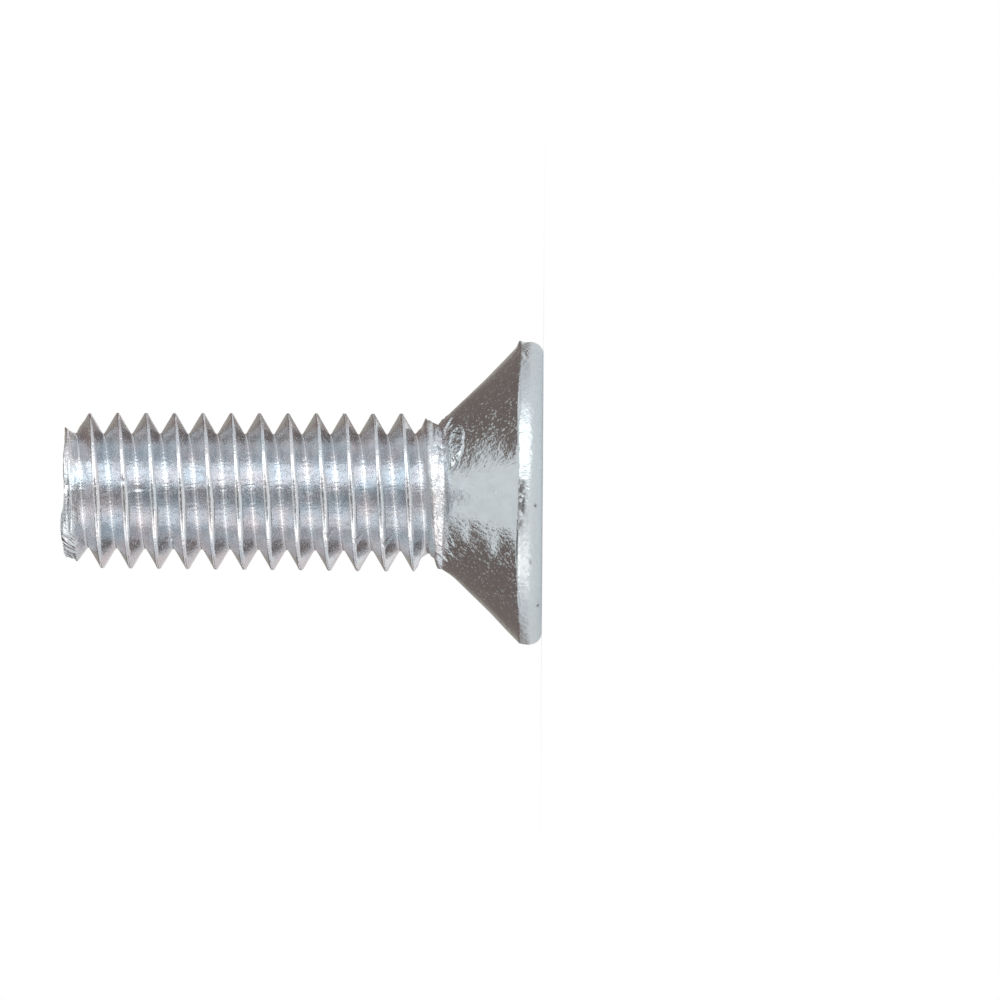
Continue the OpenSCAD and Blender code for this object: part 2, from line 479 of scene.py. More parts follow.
def smooth(value, start, end):
    """0 before start and 1 after end, with a smooth rise between."""
    share = np.clip((value - start) / (end - start), 0, 1)
    return share * share * (3 - 2 * share)


def cross(half_span, half_w, tip_r, inner_r, z):
    """The recess outline at one level, with one point for each column."""
    points = [(half_span, (half_w - tip_r) * i / END_STEPS) for i in range(END_STEPS)]
    for i in range(CORNER_STEPS):
        a = math.pi / 2 * i / CORNER_STEPS
        points.append((half_span - tip_r + tip_r * math.cos(a), half_w - tip_r + tip_r * math.sin(a)))
    side_end = half_w + inner_r
    for i in range(SIDE_STEPS):
        points.append((half_span - tip_r + (side_end - half_span + tip_r) * i / SIDE_STEPS, half_w))
    for i in range(ARC_STEPS // 2 + 1):
        a = -math.pi / 2 - math.pi / 2 * i / ARC_STEPS
        points.append((side_end + inner_r * math.cos(a), side_end + inner_r * math.sin(a)))
    eighth = np.array(points)
    quarter = np.concatenate([eighth, eighth[-2:0:-1, ::-1]])
    turned = []
    for k in range(4):
        c, s = math.cos(k * math.pi / 2), math.sin(k * math.pi / 2)
        turned.append(quarter @ np.array([[c, s], [-s, c]]))
    outline = np.concatenate(turned)
    return np.column_stack([outline, np.full(len(outline), z)])


def pad_z(points):
    """Height of the face at these points: level outside the pad, and a little sunk inside it."""
    reach = np.hypot(points[:, 0], points[:, 1])
    outer = RECESS_D / 2 + PAD_BORDER_W
    return PAD_DEPTH * (1 - smooth(reach, outer - PAD_SLOPE_W, outer))


def recess_ring(z, grown=0.0):
    """The recess outline at height z, widened all round by grown."""
    share = z / RECESS_DEPTH
    half_span = (RECESS_D + (FLOOR_D - RECESS_D) * share) / 2
    half_w = (WING_W + (FLOOR_WING_W - WING_W) * share) / 2
    inner_r = min(INNER_R, half_span - TIP_R - half_w)
    return cross(half_span + grown, half_w + grown, TIP_R + grown, inner_r - grown, z)


head_rows = []
# Cone, from the collar down to the edge of the rim
CONE_ROWS = 44
rim_edge_r = head_r + RIM_H - RIM_EDGE_H
for i in range(CONE_ROWS):
    share = i / CONE_ROWS
    cone_r = collar_r + (rim_edge_r - collar_r) * share
    head_rows.append(ring(cone_r, collar_z + (RIM_EDGE_H - collar_z) * share))
# Rim, a little bellied, and rounded over to the face
RIM_ROWS = 8
BELLY_POWER = 1.5
for i in range(RIM_ROWS):
    share = 1 - i / RIM_ROWS
    z = RIM_BELLY_H + (RIM_EDGE_H - RIM_BELLY_H) * share
    head_rows.append(ring(head_r - (head_r - rim_edge_r) * share**BELLY_POWER, z))
EDGE_ROWS = 14
for i in range(EDGE_ROWS):
    a = math.pi / 2 * i / EDGE_ROWS
    head_rows.append(ring(head_r - EDGE_W * (1 - math.cos(a)), RIM_BELLY_H * (1 - math.sin(a))))
# Face, from its edge to the pad
FACE_ROWS = 14
face_r = head_r - EDGE_W
pad_r = RECESS_D / 2 + PAD_BORDER_W + PAD_MARGIN
for i in range(FACE_ROWS):
    head_rows.append(ring(face_r + (pad_r - face_r) * i / FACE_ROWS, 0.0))
# Pad, from its round outer edge to the recess outline
PAD_SHARES = (0, 0.05, 0.1, 0.15, 0.2, 0.25, 0.3, 0.38, 0.48, 0.6, 0.75, 0.9)
mouth = recess_ring(0.0, LIP_R)
pad_ring = ring(pad_r, 0.0)
for share in PAD_SHARES:
    row = pad_ring + (mouth - pad_ring) * share
    row[:, 2] = pad_z(row)
    head_rows.append(row)
# Rounded lip, walls, floor and the shallow cone in the floor
LIP_ROWS = 4
for i in range(LIP_ROWS + 1):
    a = math.pi / 2 * i / LIP_ROWS
    row = recess_ring(0.0, LIP_R * (1 - math.sin(a)))
    row[:, 2] = pad_z(row) + LIP_R * (1 - math.cos(a))
    head_rows.append(row)
WALL_ROWS = 16
LAST_WALL_SHARES = [0.985, 1]
lip_row = head_rows[-1]
floor_row = recess_ring(RECESS_DEPTH)
for share in [i / WALL_ROWS for i in range(1, WALL_ROWS)] + LAST_WALL_SHARES:
    row = recess_ring(RECESS_DEPTH * share)
    row[:, 2] = lip_row[:, 2] + (RECESS_DEPTH - lip_row[:, 2]) * share
    head_rows.append(row)
CONE_FLOOR_SHARES = (0.97, 0.8, 0.6, 0.4, 0.2, 0.08)
for share in CONE_FLOOR_SHARES:
    row = floor_row * share
    row[:, 2] = RECESS_DEPTH + FLOOR_CONE_H * (1 - share)
    head_rows.append(row)

# Point end.
# Left as it came off the dies, without a chamfer: the metal of the wire's skin was pushed ahead
# of its core, so the flat rim of the end face runs round a shallow rolled cup.
CUP_RIM_W = 0.42 * MM
CUP_DEPTH = 0.22 * MM
CUP_FLOOR_SHARE = 0.5
CUP_MOUTH_SHARE = 1.15
CUP_ROWS = 14
end_r = END_D / 2
cup_r = end_r - CUP_RIM_W
cup_rows = []
for i in range(CUP_ROWS):
    reach = end_r * (1 - i / CUP_ROWS)
    sunk = float(1 - smooth(np.array(reach), cup_r * CUP_FLOOR_SHARE, cup_r * CUP_MOUTH_SHARE))
    cup_rows.append(ring(reach, overall_l - CUP_DEPTH * sunk))

form = bmesh.new()
form.from_mesh(thread_mesh)


def skin(rows, centre):
    """Quads between rows, and a fan from the last row to a centre point."""
    rings = [[form.verts.new(point) for point in row] for row in rows]
    for near, far in zip(rings, rings[1:]):
        for j in range(COLUMNS):
            k = (j + 1) % COLUMNS
            form.faces.new((near[j], far[j], far[k], near[k]))
    middle = form.verts.new(centre)
    last = rings[-1]
    for j in range(COLUMNS):
        form.faces.new((last[j], middle, last[(j + 1) % COLUMNS]))


skin(head_rows, (0, 0, RECESS_DEPTH + FLOOR_CONE_H))
skin(cup_rows, (0, 0, overall_l - CUP_DEPTH))
bmesh.ops.remove_doubles(form, verts=form.verts, dist=WELD_GAP)
bmesh.ops.recalc_face_normals(form, faces=form.faces)

# Marks of rolling, forging and handling.
# The screw was rolled, tumbled in its plating barrel and packed loose, so its crests, collar,
# rim and point end are uneven: small swells, dents, burrs and a folded lip, all in the mesh.
# Places are (angle from the front towards +X in degrees, height above the face in mm). Every
# other length in this section is in mm, and every other angle in degrees.
PITCH_MM = PITCH / MM
END_Z = overall_l / MM
END_GAP = 0.002
# A point is outside, and not in the recess or on the face, where its reach and height add up to
# this much. Arcs are measured at the point's own reach, but never below the least one.
OUTSIDE_FROM = (3.5, 3.6)
LEAST_REACH = 1.4

# Patches with a finer mesh: place, half widths along the arc and up, and number of cuts
FINE_SPOTS = (
    ((36, 2.16), 0.75, 0.4, 3),
    ((56, 2.3), 0.3, 0.3, 2),
    ((-2, 0.55), 0.6, 0.2, 2),
    ((-36, 0.35), 0.5, 0.35, 1),
    ((-4.8, 0.18), 0.15, 0.1, 3),
    ((-26.8, 0.27), 0.12, 0.1, 2),
    ((-49, 0.1), 0.15, 0.1, 3),
    ((-55, 2.4), 0.8, 0.35, 1),
)


def outer_place(points):
    """Angle, height, reach and an outside mask for points in mm."""
    turned = np.degrees(np.arctan2(points[:, 0], -points[:, 1]))
    reach = np.hypot(points[:, 0], points[:, 1])
    outside = smooth(reach + points[:, 2], *OUTSIDE_FROM)
    return turned, points[:, 2], reach, outside


def offsets(turned, z, reach, spot):
    """Arc and height in mm from a spot to each point."""
    angle, height = spot
    swing = (turned - angle + 180) % 360 - 180
    return np.radians(swing) * np.maximum(reach, LEAST_REACH), z - height


for spot, arc_span, z_span, cuts in FINE_SPOTS:
    middles = np.array([face.calc_center_median()[:] for face in form.faces]) / MM
    turned, z, reach, outside = outer_place(middles)
    arc, rise = offsets(turned, z, reach, spot)
    near = (outside > 0.5) & ((arc / arc_span) ** 2 + (rise / z_span) ** 2 < 1)
    chosen = [face for face, wanted in zip(list(form.faces), near) if wanted]
    edges = list({edge for face in chosen for edge in face.edges})
    bmesh.ops.subdivide_edges(form, edges=edges, cuts=cuts, use_grid_fill=True)

screw_mesh = bpy.data.meshes.new("screw")
form.to_mesh(screw_mesh)
form.free()
bpy.data.meshes.remove(thread_mesh)
screw_mesh.shade_smooth()

count = len(screw_mesh.vertices)
flat = np.empty(count * 3)
screw_mesh.vertices.foreach_get("co", flat)
points = flat.reshape(-1, 3) / MM
screw_mesh.vertices.foreach_get("normal", flat)
normals = flat.reshape(-1, 3).copy()
turned, z, reach, outside = outer_place(points)

# Where each point lies: its distance from the nearest crest, and the zones of the screw.
# A pair of heights is where a zone starts and where it is whole, or the other way round at its end.
THREAD_FROM = (2.7, 2.95)
COLLAR_FROM = (2.3, 2.42)
COLLAR_TOP = 2.74
COLLAR_TOP_PER_DEG = 0.0017
COLLAR_FADE = 0.04
CONE_FROM = (0.555, 0.575)
CONE_TO = (2.4, 2.46)
RIM_TO = (0.545, 0.565)
RECESS_REACH = 2.2
RECESS_HEIGHTS = (0.06, 2.46)
CREST_NEAR = (0.02, 0.12)

phase = (z / PITCH_MM - np.arctan2(points[:, 1], points[:, 0]) / (2 * math.pi)) % 1
crest_s = np.minimum(phase, 1 - phase) * PITCH_MM
threaded = outside * smooth(z, *THREAD_FROM)
collar_top = COLLAR_TOP + COLLAR_TOP_PER_DEG * turned
collar = outside * smooth(z, *COLLAR_FROM) * (1 - smooth(z, collar_top, collar_top + COLLAR_FADE))
cone = outside * smooth(z, *CONE_FROM) * (1 - smooth(z, *CONE_TO))
in_recess = (reach < RECESS_REACH) & (z > RECESS_HEIGHTS[0]) & (z < RECESS_HEIGHTS[1]) & (outside < 0.5)
crest_near = threaded * (1 - smooth(crest_s, *CREST_NEAR))


def field(scale, seed, stretch=(1, 1, 1)):
    """Smooth noise from about -1 to 1 at every point, with scale in waves per mm."""
    shift = Vector((seed * 7.3, seed * 3.1, seed * 5.7))
    scaled = points * np.array(stretch) * scale
    return np.array([noise.noise(Vector(point) + shift) for point in scaled])


def uneven(*layers):
    """The sum of noise fields, each given as height, waves per mm and seed."""
    return sum(lift * field(scale, seed) for lift, scale, seed in layers)


def swell(spot, arc_span, z_span, tilt=0.0):
    """A soft round swell with its middle at spot, 1 high. Tilt turns it, in degrees."""
    arc, rise = offsets(turned, z, reach, spot)
    c, s = math.cos(math.radians(tilt)), math.sin(math.radians(tilt))
    along, across = arc * c + rise * s, rise * c - arc * s
    return outside * np.exp(-((along / arc_span) ** 2) - (across / z_span) ** 2)


def bell(value, centre, span):
    """A soft hump of one value, 1 high."""
    return np.exp(-(((value - centre) / span) ** 2))


def round_wave(humps):
    """A wave round the screw, from humps given as height, angle and span in degrees."""
    return sum(lift * bell(turned, angle, span) for lift, angle, span in humps)


# Unevenness of the whole surface, then of crests and collar
THREAD_CALM = 0.6
push = outside * uneven((0.006, 1.5, 1), (0.002, 5, 2)) * (1 - THREAD_CALM * threaded)
push += crest_near * uneven((0.008, 6, 3), (0.006, 14, 4))
push += collar * uneven((0.022, 7, 5), (0.012, 15, 6))

# Seam along the crests, where the metal of both flanks met while it was rolled
SEAM_DEPTH = 0.034
SEAM_SIDE = (0.002, 0.022)
SEAM_FRONT = (-4, 15)
SEAM_GAPS = (-0.35, 0.15)
SEAM_BEHIND = 0.35
seam_gate = smooth(field(1.3, 7), *SEAM_GAPS)
seam_share = np.clip(bell(turned, *SEAM_FRONT) + SEAM_BEHIND * seam_gate, 0, 1)
seam = threaded * (1 - smooth(crest_s, *SEAM_SIDE)) * seam_share
push -= SEAM_DEPTH * seam

# Ridges along the thread: height, distance from the crest and span, then angle and span.
# The lips stand on both sides of the seam, the shoulder on the head side, and the roots are
# a little fuller below.
LIPS = (0.016, 0.045, 0.02, -12, 42)
SHOULDER = (0.062, 0.075, 0.028, -9, 29)
ROOT_FILL = (0.015, 0.35, 0.05, -90, 30)
ROOT_FILL_TO = (10.7, 11)


def ridge(lift, side, span, angle, angle_span):
    """A ridge that runs along the thread at one distance from its crest."""
    return lift * threaded * bell(crest_s, side, span) * bell(turned, angle, angle_span)


push += ridge(*LIPS) + (phase > 0.5) * ridge(*SHOULDER)
push += (1 - smooth(z, *ROOT_FILL_TO)) * ridge(*ROOT_FILL)

# Lumps and dents: height, place, spans along the arc and up, and tilt
LUMPS = (
    # Collar lumps, the squeezed end of the thread, and the wave of the cone below the front
    (0.085, (-78, 2.5), 0.75, 0.16, 8),
    (0.03, (-40, 2.42), 0.5, 0.1, 8),
    (0.013, (-29, 1.32), 0.25, 0.16, 0),
    (-0.012, (-24, 1.8), 0.3, 0.16, 0),
    (-0.01, (-22, 1.02), 0.28, 0.14, 0),
    # Folds where the lower collar lump meets the cone
    (0.055, (-58, 2.43), 0.16, 0.035, 41),
    (0.045, (-47, 2.36), 0.18, 0.035, 60),
    (0.035, (-35.5, 2.29), 0.14, 0.03, 35),
    # Folds and a burr beside the squashed flap
    (0.045, (62, 2.33), 0.26, 0.035, -28),
    (-0.03, (55, 2.25), 0.14, 0.06, -28),
    (0.075, (23.5, 2.16), 0.16, 0.035, -40),
    (-0.045, (18.5, 2.2), 0.14, 0.04, -40),
    (0.02, (50, 2.02), 0.12, 0.03, 20),
    # Nub at the top of the rim, a dent beside it, a single nick and two grains
    (0.07, (86, 0.56), 0.3, 0.06, 0),
    (-0.03, (74, 0.62), 0.12, 0.05, 0),
    (-0.018, (-11.4, 0.53), 0.05, 0.06, 0),
    (0.014, (34.2, 0.53), 0.03, 0.02, 0),
    (0.014, (30.9, 0.52), 0.035, 0.02, 0),
    # Row of pressed nicks at the front of the rim
    (-0.033, (3.2, 0.5), 0.05, 0.05, 25),
    (-0.022, (1.4, 0.5), 0.05, 0.05, 25),
    (-0.0374, (-0.6, 0.5), 0.05, 0.05, 25),
    (-0.0286, (-2.6, 0.5), 0.05, 0.05, 25),
    (-0.0374, (-4.8, 0.5), 0.05, 0.05, 25),
    (-0.0286, (-7.2, 0.5), 0.05, 0.05, 25),
    # Dent in the lip of the point end
    (-0.05, (4, 11.8), 0.09, 0.1, 0),
)
for lift, spot, arc_span, z_span, tilt in LUMPS:
    push += lift * swell(spot, arc_span, z_span, tilt)

# Swells and grooves part of the way round: height, middle and span up the screw, angle and span
BANDS = (
    # The last groove slopes into the collar, above and below
    (-0.09, 2.71, 0.06, 90, 40),
    (-0.05, 2.84, 0.06, 90, 40),
    (-0.05, 3.0, 0.06, 90, 40),
    (-0.08, 2.66, 0.05, -90, 35),
    (-0.1, 2.91, 0.05, -90, 35),
    (-0.02, 3.03, 0.06, -90, 35),
    (-0.03, 3.11, 0.03, -90, 35),
    # The neck under the lip of the point end, above and below
    (-0.06, 11.66, 0.1, 90, 45),
    (0.035, 11.42, 0.09, 90, 35),
    (0.045, 11.5, 0.05, -88, 25),
    (-0.05, 11.8, 0.05, -88, 25),
)
for lift, middle, z_span, angle, angle_span in BANDS:
    push += lift * outside * bell(z, middle, z_span) * bell(turned, angle, angle_span)

# Shallow groove between the collar and the cone, and the cone's slight hollow
NECK_DEPTH = 0.1
NECK_Z = 2.43
NECK_Z_PER_DEG = 0.0019
NECK_SPAN = 0.05
NECK_FRONT = (60, 55)
HOLLOW_DEPTH = 0.025
HOLLOW_PLACE = (1.4, 0.6)
HOLLOW_FRONT = (0, 45)
HOLLOW_TURN = 1.5
neck = bell(z, NECK_Z + NECK_Z_PER_DEG * turned, NECK_SPAN) * bell(turned, *NECK_FRONT)
push -= NECK_DEPTH * outside * neck
push -= HOLLOW_DEPTH * cone * bell(z, *HOLLOW_PLACE) * (1 - HOLLOW_TURN * bell(turned, *HOLLOW_FRONT))

# Squashed flap on the cone beside the collar: a loop-shaped ridge with a rough middle
FLAP_SPOT = (36, 2.15)
FLAP_ARC = 0.5
FLAP_H = 0.16
FLAP_RAGGED = 0.18
FLAP_RIDGE_H = 0.026
FLAP_RIDGE_SPAN = 0.2
FLAP_ROUGH = 0.012
arc, rise = offsets(turned, z, reach, FLAP_SPOT)
loop = np.sqrt((arc / FLAP_ARC) ** 2 + (rise / FLAP_H) ** 2) + FLAP_RAGGED * field(6, 8)
flap_push = FLAP_RIDGE_H * bell(loop, 1, FLAP_RIDGE_SPAN) + FLAP_ROUGH * (loop < 1) * field(12, 9)
push += outside * flap_push

# Edge of the rim: wavy, with forging ripples below. Humps are height, angle and span.
RIM_HUMPS = ((0.043, -5, 60), (0.02, 45, 16), (-0.02, 8, 18), (0.02, -26, 16), (-0.015, -70, 16))
RIM_EDGE_Z = RIM_EDGE_H / MM
RIM_FADE_UP = 0.35
RIM_FADE_DOWN = 0.09
RIM_REACH = 3
RIPPLE_H = 0.012
RIPPLE_PLACE = (-37, 5)
RIPPLE_FROM = (0.1, 0.2)
RIPPLE_TO = (0.52, 0.6)
RIPPLE_REACH = 3.3
edge_fade = np.where(z > RIM_EDGE_Z, RIM_FADE_UP, RIM_FADE_DOWN)
edge_band = outside * bell(z, RIM_EDGE_Z, edge_fade) * (reach > RIM_REACH)
lift_z = edge_band * (round_wave(RIM_HUMPS) + uneven((0.012, 1.2, 10), (0.006, 5, 11)))
ripple_band = outside * bell(turned, *RIPPLE_PLACE) * (reach > RIPPLE_REACH)
ripple_band *= smooth(z, *RIPPLE_FROM) * (1 - smooth(z, *RIPPLE_TO))
push += RIPPLE_H * ripple_band * field(7, 12, (1, 1, 0.6))

# Pits in the rim, and soft patches over its nicks: both are darkened in the plating with painted shade
PIT_DEPTH = 0.02
PIT_SHAPE = (0.045, 0.03, 30)
PITS = ((-4.8, 0.18), (-26.8, 0.27), (-49, 0.1))
NICK_ROW = ((-1.5, 0.5), 0.36, 0.055)
LONE_NICK = ((-11.4, 0.51), 0.06, 0.06)
LONE_NICK_SHARE = 0.6
pits = sum(swell(spot, *PIT_SHAPE) for spot in PITS)
push -= PIT_DEPTH * pits
nicks = swell(*NICK_ROW) + LONE_NICK_SHARE * swell(*LONE_NICK)

# Nicks across single crests, each with a burr beside it: place, length, tilt and depth
NICK_W = 0.03
NICK_BURR = 0.4
NICK_BURR_DEG = 3
CREST_NICKS = (
    ((7.5, 10.36), 0.07, 60, 0.05),
    ((2, 9.99), 0.05, -30, 0.04),
    ((-42, 3.87), 0.09, 50, 0.06),
    ((-39, 4.58), 0.08, 45, 0.05),
    ((-35, 5.25), 0.11, 55, 0.06),
    ((-58, 9.15), 0.06, 40, 0.05),
    ((21, 8.7), 0.05, 20, 0.03),
)
for spot, length, tilt, depth in CREST_NICKS:
    beside = (spot[0] - NICK_BURR_DEG, spot[1])
    burr = NICK_BURR * swell(beside, length, NICK_W, tilt)
    push -= depth * (swell(spot, length, NICK_W, tilt) - burr)

# Point end: the last crest is squashed into a lip, raised on one side and folded over on the front.
# Humps are height, angle and span.
LIP_HUMPS = (
    (0.07, -33, 17),
    (-0.075, 60, 16),
    (-0.02, 95, 22),
    (-0.035, -10, 60),
    (-0.1, -92, 14),
    (0.03, 150, 30),
    (-0.04, -150, 22),
)
LIP_FROM = (11.35, 11.8)
LIP_LEAST_Z = 11.3
CUP_REACHES = (1.0, 1.5)
FOLD_PLACE = (-58, 34)
FOLD_FROM = (11.42, 11.55)
FOLD_REACH = 1.725
FOLD_GAIN = 1.6
FOLD_OUTWARD = (0.3, 0.6)
FOLD_ROUGH = 0.02
LIP_ROUGH = 0.01
END_SCORES_H = 0.022
END_SCORES_FROM = (11.5, 11.6)
at_end = outside * smooth(z, *LIP_FROM)
lip = round_wave(LIP_HUMPS) + uneven((0.02, 2.2, 13), (0.012, 6, 14))
on_end_face = smooth(reach, *CUP_REACHES) * (z > END_Z - END_GAP)
lift_z += (z > LIP_LEAST_Z) * lip * (at_end + on_end_face * (1 - at_end))
folded = outside * bell(turned, *FOLD_PLACE) * smooth(z, *FOLD_FROM)
outward = (normals[:, 0] * points[:, 0] + normals[:, 1] * points[:, 1]) / np.maximum(reach, 0.01)
fill = np.maximum(0, FOLD_REACH - reach) * np.minimum(1, FOLD_GAIN * folded)
fill *= smooth(outward, *FOLD_OUTWARD)
push += FOLD_ROUGH * folded * field(8, 15, (1, 1, 0.5)) + LIP_ROUGH * at_end * field(3, 16)
end_scores = outside * smooth(z, *END_SCORES_FROM) * (1 - folded) * field(9, 17, (0.25, 0.25, 1))
push += END_SCORES_H * end_scores

# The thread tapers a little towards the point end
TAPER_SHARE = 0.016
TAPER_Z = 3.4
TAPER_L = 7.6
points += normals * push[:, None]
points[:, 2] += lift_z
points[:, :2] *= (1 + fill / np.maximum(reach, 0.01))[:, None]
points[:, :2] *= (1 - TAPER_SHARE * np.clip((z - TAPER_Z) / TAPER_L, 0, 1))[:, None]
screw_mesh.vertices.foreach_set("co", (points * MM).ravel())
screw_mesh.update()

# Attributes that the plating reads: groove is 0 on a crest and 1 at a root
CLEAN_MIDDLE_DEG = 6
CLEAN_HALF_DEG = (17, 24)
END_FROM = (11.42, 11.5)
END_AS_COLLAR = 0.7
FLAP_TO = 1.1
ROUGH_RIM = ((68, 0.47), 0.35, 0.1)
ROUGH_RIM_SHARE = 0.7
FACE_REACH = 2
FACE_Z = 0.06
DARK_SEAM = (-4, 18)
NICK_DARKNESS = 2.2
PIT_DARKNESS = 1.5
rough_rim = ROUGH_RIM_SHARE * swell(*ROUGH_RIM)
# Painted shade in the nicks and pits, and a painted dark reflection on the crest seam, only at the
# front
dark = seam * bell(turned, *DARK_SEAM) + NICK_DARKNESS * nicks + PIT_DARKNESS * pits
zones = {
    "groove": crest_s / (PITCH_MM / 2),
    "threaded": threaded * (1 - folded),
    "collar": np.clip(collar + END_AS_COLLAR * at_end, 0, 1),
    "cone": cone,
    "recess": in_recess.astype(float),
    "end": outside * smooth(z, *END_FROM) * (1 - folded),
    "flap": np.clip(folded + outside * (loop < FLAP_TO) + rough_rim, 0, 1),
    "rim": outside * (1 - smooth(z, *RIM_TO)),
    "clean": cone * (1 - smooth(np.abs(turned - CLEAN_MIDDLE_DEG), *CLEAN_HALF_DEG)),
    "face": (1 - outside) * (reach > FACE_REACH) * (z < FACE_Z),
    "painted_shade": np.clip(dark, 0, 1),
}
for name, values in zones.items():
    layer = screw_mesh.attributes.new(name, "FLOAT", "POINT")
    layer.data.foreach_set("value", values.astype(np.float32))

screw_mesh.materials.clear()
screw_mesh.materials.append(plating)
screw = bpy.data.objects.new("countersunk_screw", screw_mesh)
bpy.context.scene.collection.objects.link(screw)

# Zinc plating.
# Bright zinc, plated over the whole screw in a barrel and passivated a pale blue. It follows the
# marks of rolling and forging, and adds a fine grain, low pimples and short streaks.
# Heights are in micrometres, and scales on Object coordinates in waves or cells per metre.
UM = 0.000001
THREAD_COLOUR = (0.62, 0.68, 0.725, 1)
WARM_THREAD_COLOUR = (0.7, 0.675, 0.69, 1)
HEAD_COLOUR = (0.565, 0.61, 0.635, 1)
DULL_COLOUR = (0.515, 0.56, 0.58, 1)
RIM_COLOUR = (0.59, 0.636, 0.661, 1)
SPARKLE_COLOUR = (0.8, 0.84, 0.86, 1)
RECESS_COLOUR = (0.42, 0.5, 0.54, 1)
PAINTED_SHADE_COLOUR = (0.17, 0.165, 0.17, 1)

tree = new_nodes(plating)
spot = add_node(tree, "ShaderNodeTexCoord").outputs["Object"]
axes = add_node(tree, "ShaderNodeSeparateXYZ", {0: spot}).outputs


def zone(name):
    """A zone mask of the screw's mesh."""
    return add_node(tree, "ShaderNodeAttribute", attribute_name=name).outputs["Fac"]


def calc_paint(operation, *values):
    """The output of a Math node in the plating."""
    return math_node(tree, operation, *values)


def calc_vector(operation, *values):
    """The output of a Vector Math node in the plating."""
    return add_node(tree, "ShaderNodeVectorMath", enumerate(values), operation=operation).outputs[0]


def combined(x=0.0, y=0.0, z=0.0):
    """A vector from three numbers or sockets."""
    return add_node(tree, "ShaderNodeCombineXYZ", {0: x, 1: y, 2: z}).outputs[0]


def mixed_value(share, low_value, high_value):
    """A number between two, by a share."""
    inputs = {0: share, 2: low_value, 3: high_value}
    return add_node(tree, "ShaderNodeMix", inputs, data_type="FLOAT").outputs[0]


def mixed_colour(share, low_colour, high_colour):
    """A colour between two, by a share."""
    inputs = {0: share, 6: low_colour, 7: high_colour}
    return add_node(tree, "ShaderNodeMix", inputs, data_type="RGBA").outputs[2]


def noise_at(place, scale, detail, roughness):
    """Noise about zero."""
    inputs = {"Vector": place, "Scale": scale, "Detail": detail, "Roughness": roughness}
    return calc_paint("SUBTRACT", add_node(tree, "ShaderNodeTexNoise", inputs).outputs[0], 0.5)


def step_between(value, start, end):
    """A smooth rise from 0 at start to 1 at end."""
    return add_node(
        tree,
        "ShaderNodeMapRange",
        {"Value": value, "From Min": start, "From Max": end},
        interpolation_type="SMOOTHSTEP",
    ).outputs[0]


SPECK_SOFTNESS = 0.02


def specks(place, scale, size, share):
    """Round bumps, 1 high, in a share of the cells of a grid of random points."""
    cells = add_node(tree, "ShaderNodeTexVoronoi", {"Vector": place, "Scale": scale}).outputs
    chance = add_node(tree, "ShaderNodeSeparateColor", {0: cells["Color"]}).outputs[0]
    kept = step_between(chance, share, share - SPECK_SOFTNESS)
    return calc_paint("MULTIPLY", kept, step_between(cells["Distance"], size, 0.0))


def in_zone(pattern, mask, height):
    """A pattern in one zone of the screw, at its height."""
    return calc_paint("MULTIPLY", pattern, calc_paint("MULTIPLY", mask, height))


threaded_zone = zone("threaded")
collar_zone = zone("collar")
cone_zone = zone("cone")
flap_zone = zone("flap")
recess_zone = zone("recess")
groove_place = zone("groove")
rim_zone = zone("rim")
face_zone = zone("face")
end_zone = zone("end")
painted_shade_zone = zone("painted_shade")
clean_zone = zone("clean")

# Fine lines: along the helix on the thread, and up and down on the cone
HELIX_STRETCH = (0.15, 0.15, 0.15)
CONE_WAVES_ROUND = (30, 30, 30)
CONE_WAVES_UP = 7000
across = combined(z=calc_paint("MULTIPLY", groove_place, PITCH / 2))
helix_lay = calc_vector("ADD", calc_vector("MULTIPLY", spot, HELIX_STRETCH), across)
round_way = calc_vector("NORMALIZE", combined(axes["X"], axes["Y"]))
up_way = combined(z=calc_paint("MULTIPLY", axes["Z"], CONE_WAVES_UP))
cone_lay = calc_vector("MULTIPLY_ADD", round_way, CONE_WAVES_ROUND, up_way)
helix_noise = noise_at(helix_lay, scale=40000, detail=3, roughness=0.6)
helix_lines = in_zone(helix_noise, threaded_zone, height=1.6)
cone_noise = noise_at(cone_lay, scale=1, detail=2, roughness=0.6)
cone_lines = in_zone(cone_noise, cone_zone, height=6.5)

# Grain: fine and middling over the whole screw, coarser on face and rim, and rough on the collar
HEAD_GRAIN_H = 1.8
THREAD_GRAIN_H = 2.5
HEAD_MID_GRAIN_H = 3.0
THREAD_MID_GRAIN_H = 6.5
FACE_MID_GRAIN_H = 10.0
fine_noise = noise_at(spot, scale=20000, detail=2, roughness=0.6)
grain = calc_paint("MULTIPLY", fine_noise, mixed_value(threaded_zone, HEAD_GRAIN_H, THREAD_GRAIN_H))
face_and_rim = calc_paint("MAXIMUM", face_zone, rim_zone)
mid_height = mixed_value(threaded_zone, HEAD_MID_GRAIN_H, THREAD_MID_GRAIN_H)
mid_height = calc_paint("ADD", mid_height, calc_paint("MULTIPLY", face_and_rim, FACE_MID_GRAIN_H))
mid_grain = calc_paint("MULTIPLY", noise_at(spot, scale=9000, detail=1, roughness=0.5), mid_height)
collar_noise = noise_at(spot, scale=14000, detail=3, roughness=0.6)
rough_grain = in_zone(collar_noise, collar_zone, height=22)
rim_waves = in_zone(noise_at(spot, scale=4500, detail=1, roughness=0.5), rim_zone, height=9)

# Folds of the flap run across it at a slant
FLAP_REACH = 1.6 * MM
FOLD_SLOWNESS = 0.2
flap_turn = calc_paint("ARCTAN2", axes["X"], calc_paint("MULTIPLY", axes["Y"], -1))
flap_arc = calc_paint("MULTIPLY", flap_turn, FLAP_REACH)
flap_across = calc_paint("SUBTRACT", flap_arc, axes["Z"])
flap_along = calc_paint("MULTIPLY", calc_paint("ADD", flap_arc, axes["Z"]), FOLD_SLOWNESS)
flap_noise = noise_at(combined(flap_across, flap_along), scale=9000, detail=2, roughness=0.5)
flap_lines = in_zone(flap_noise, flap_zone, height=110)

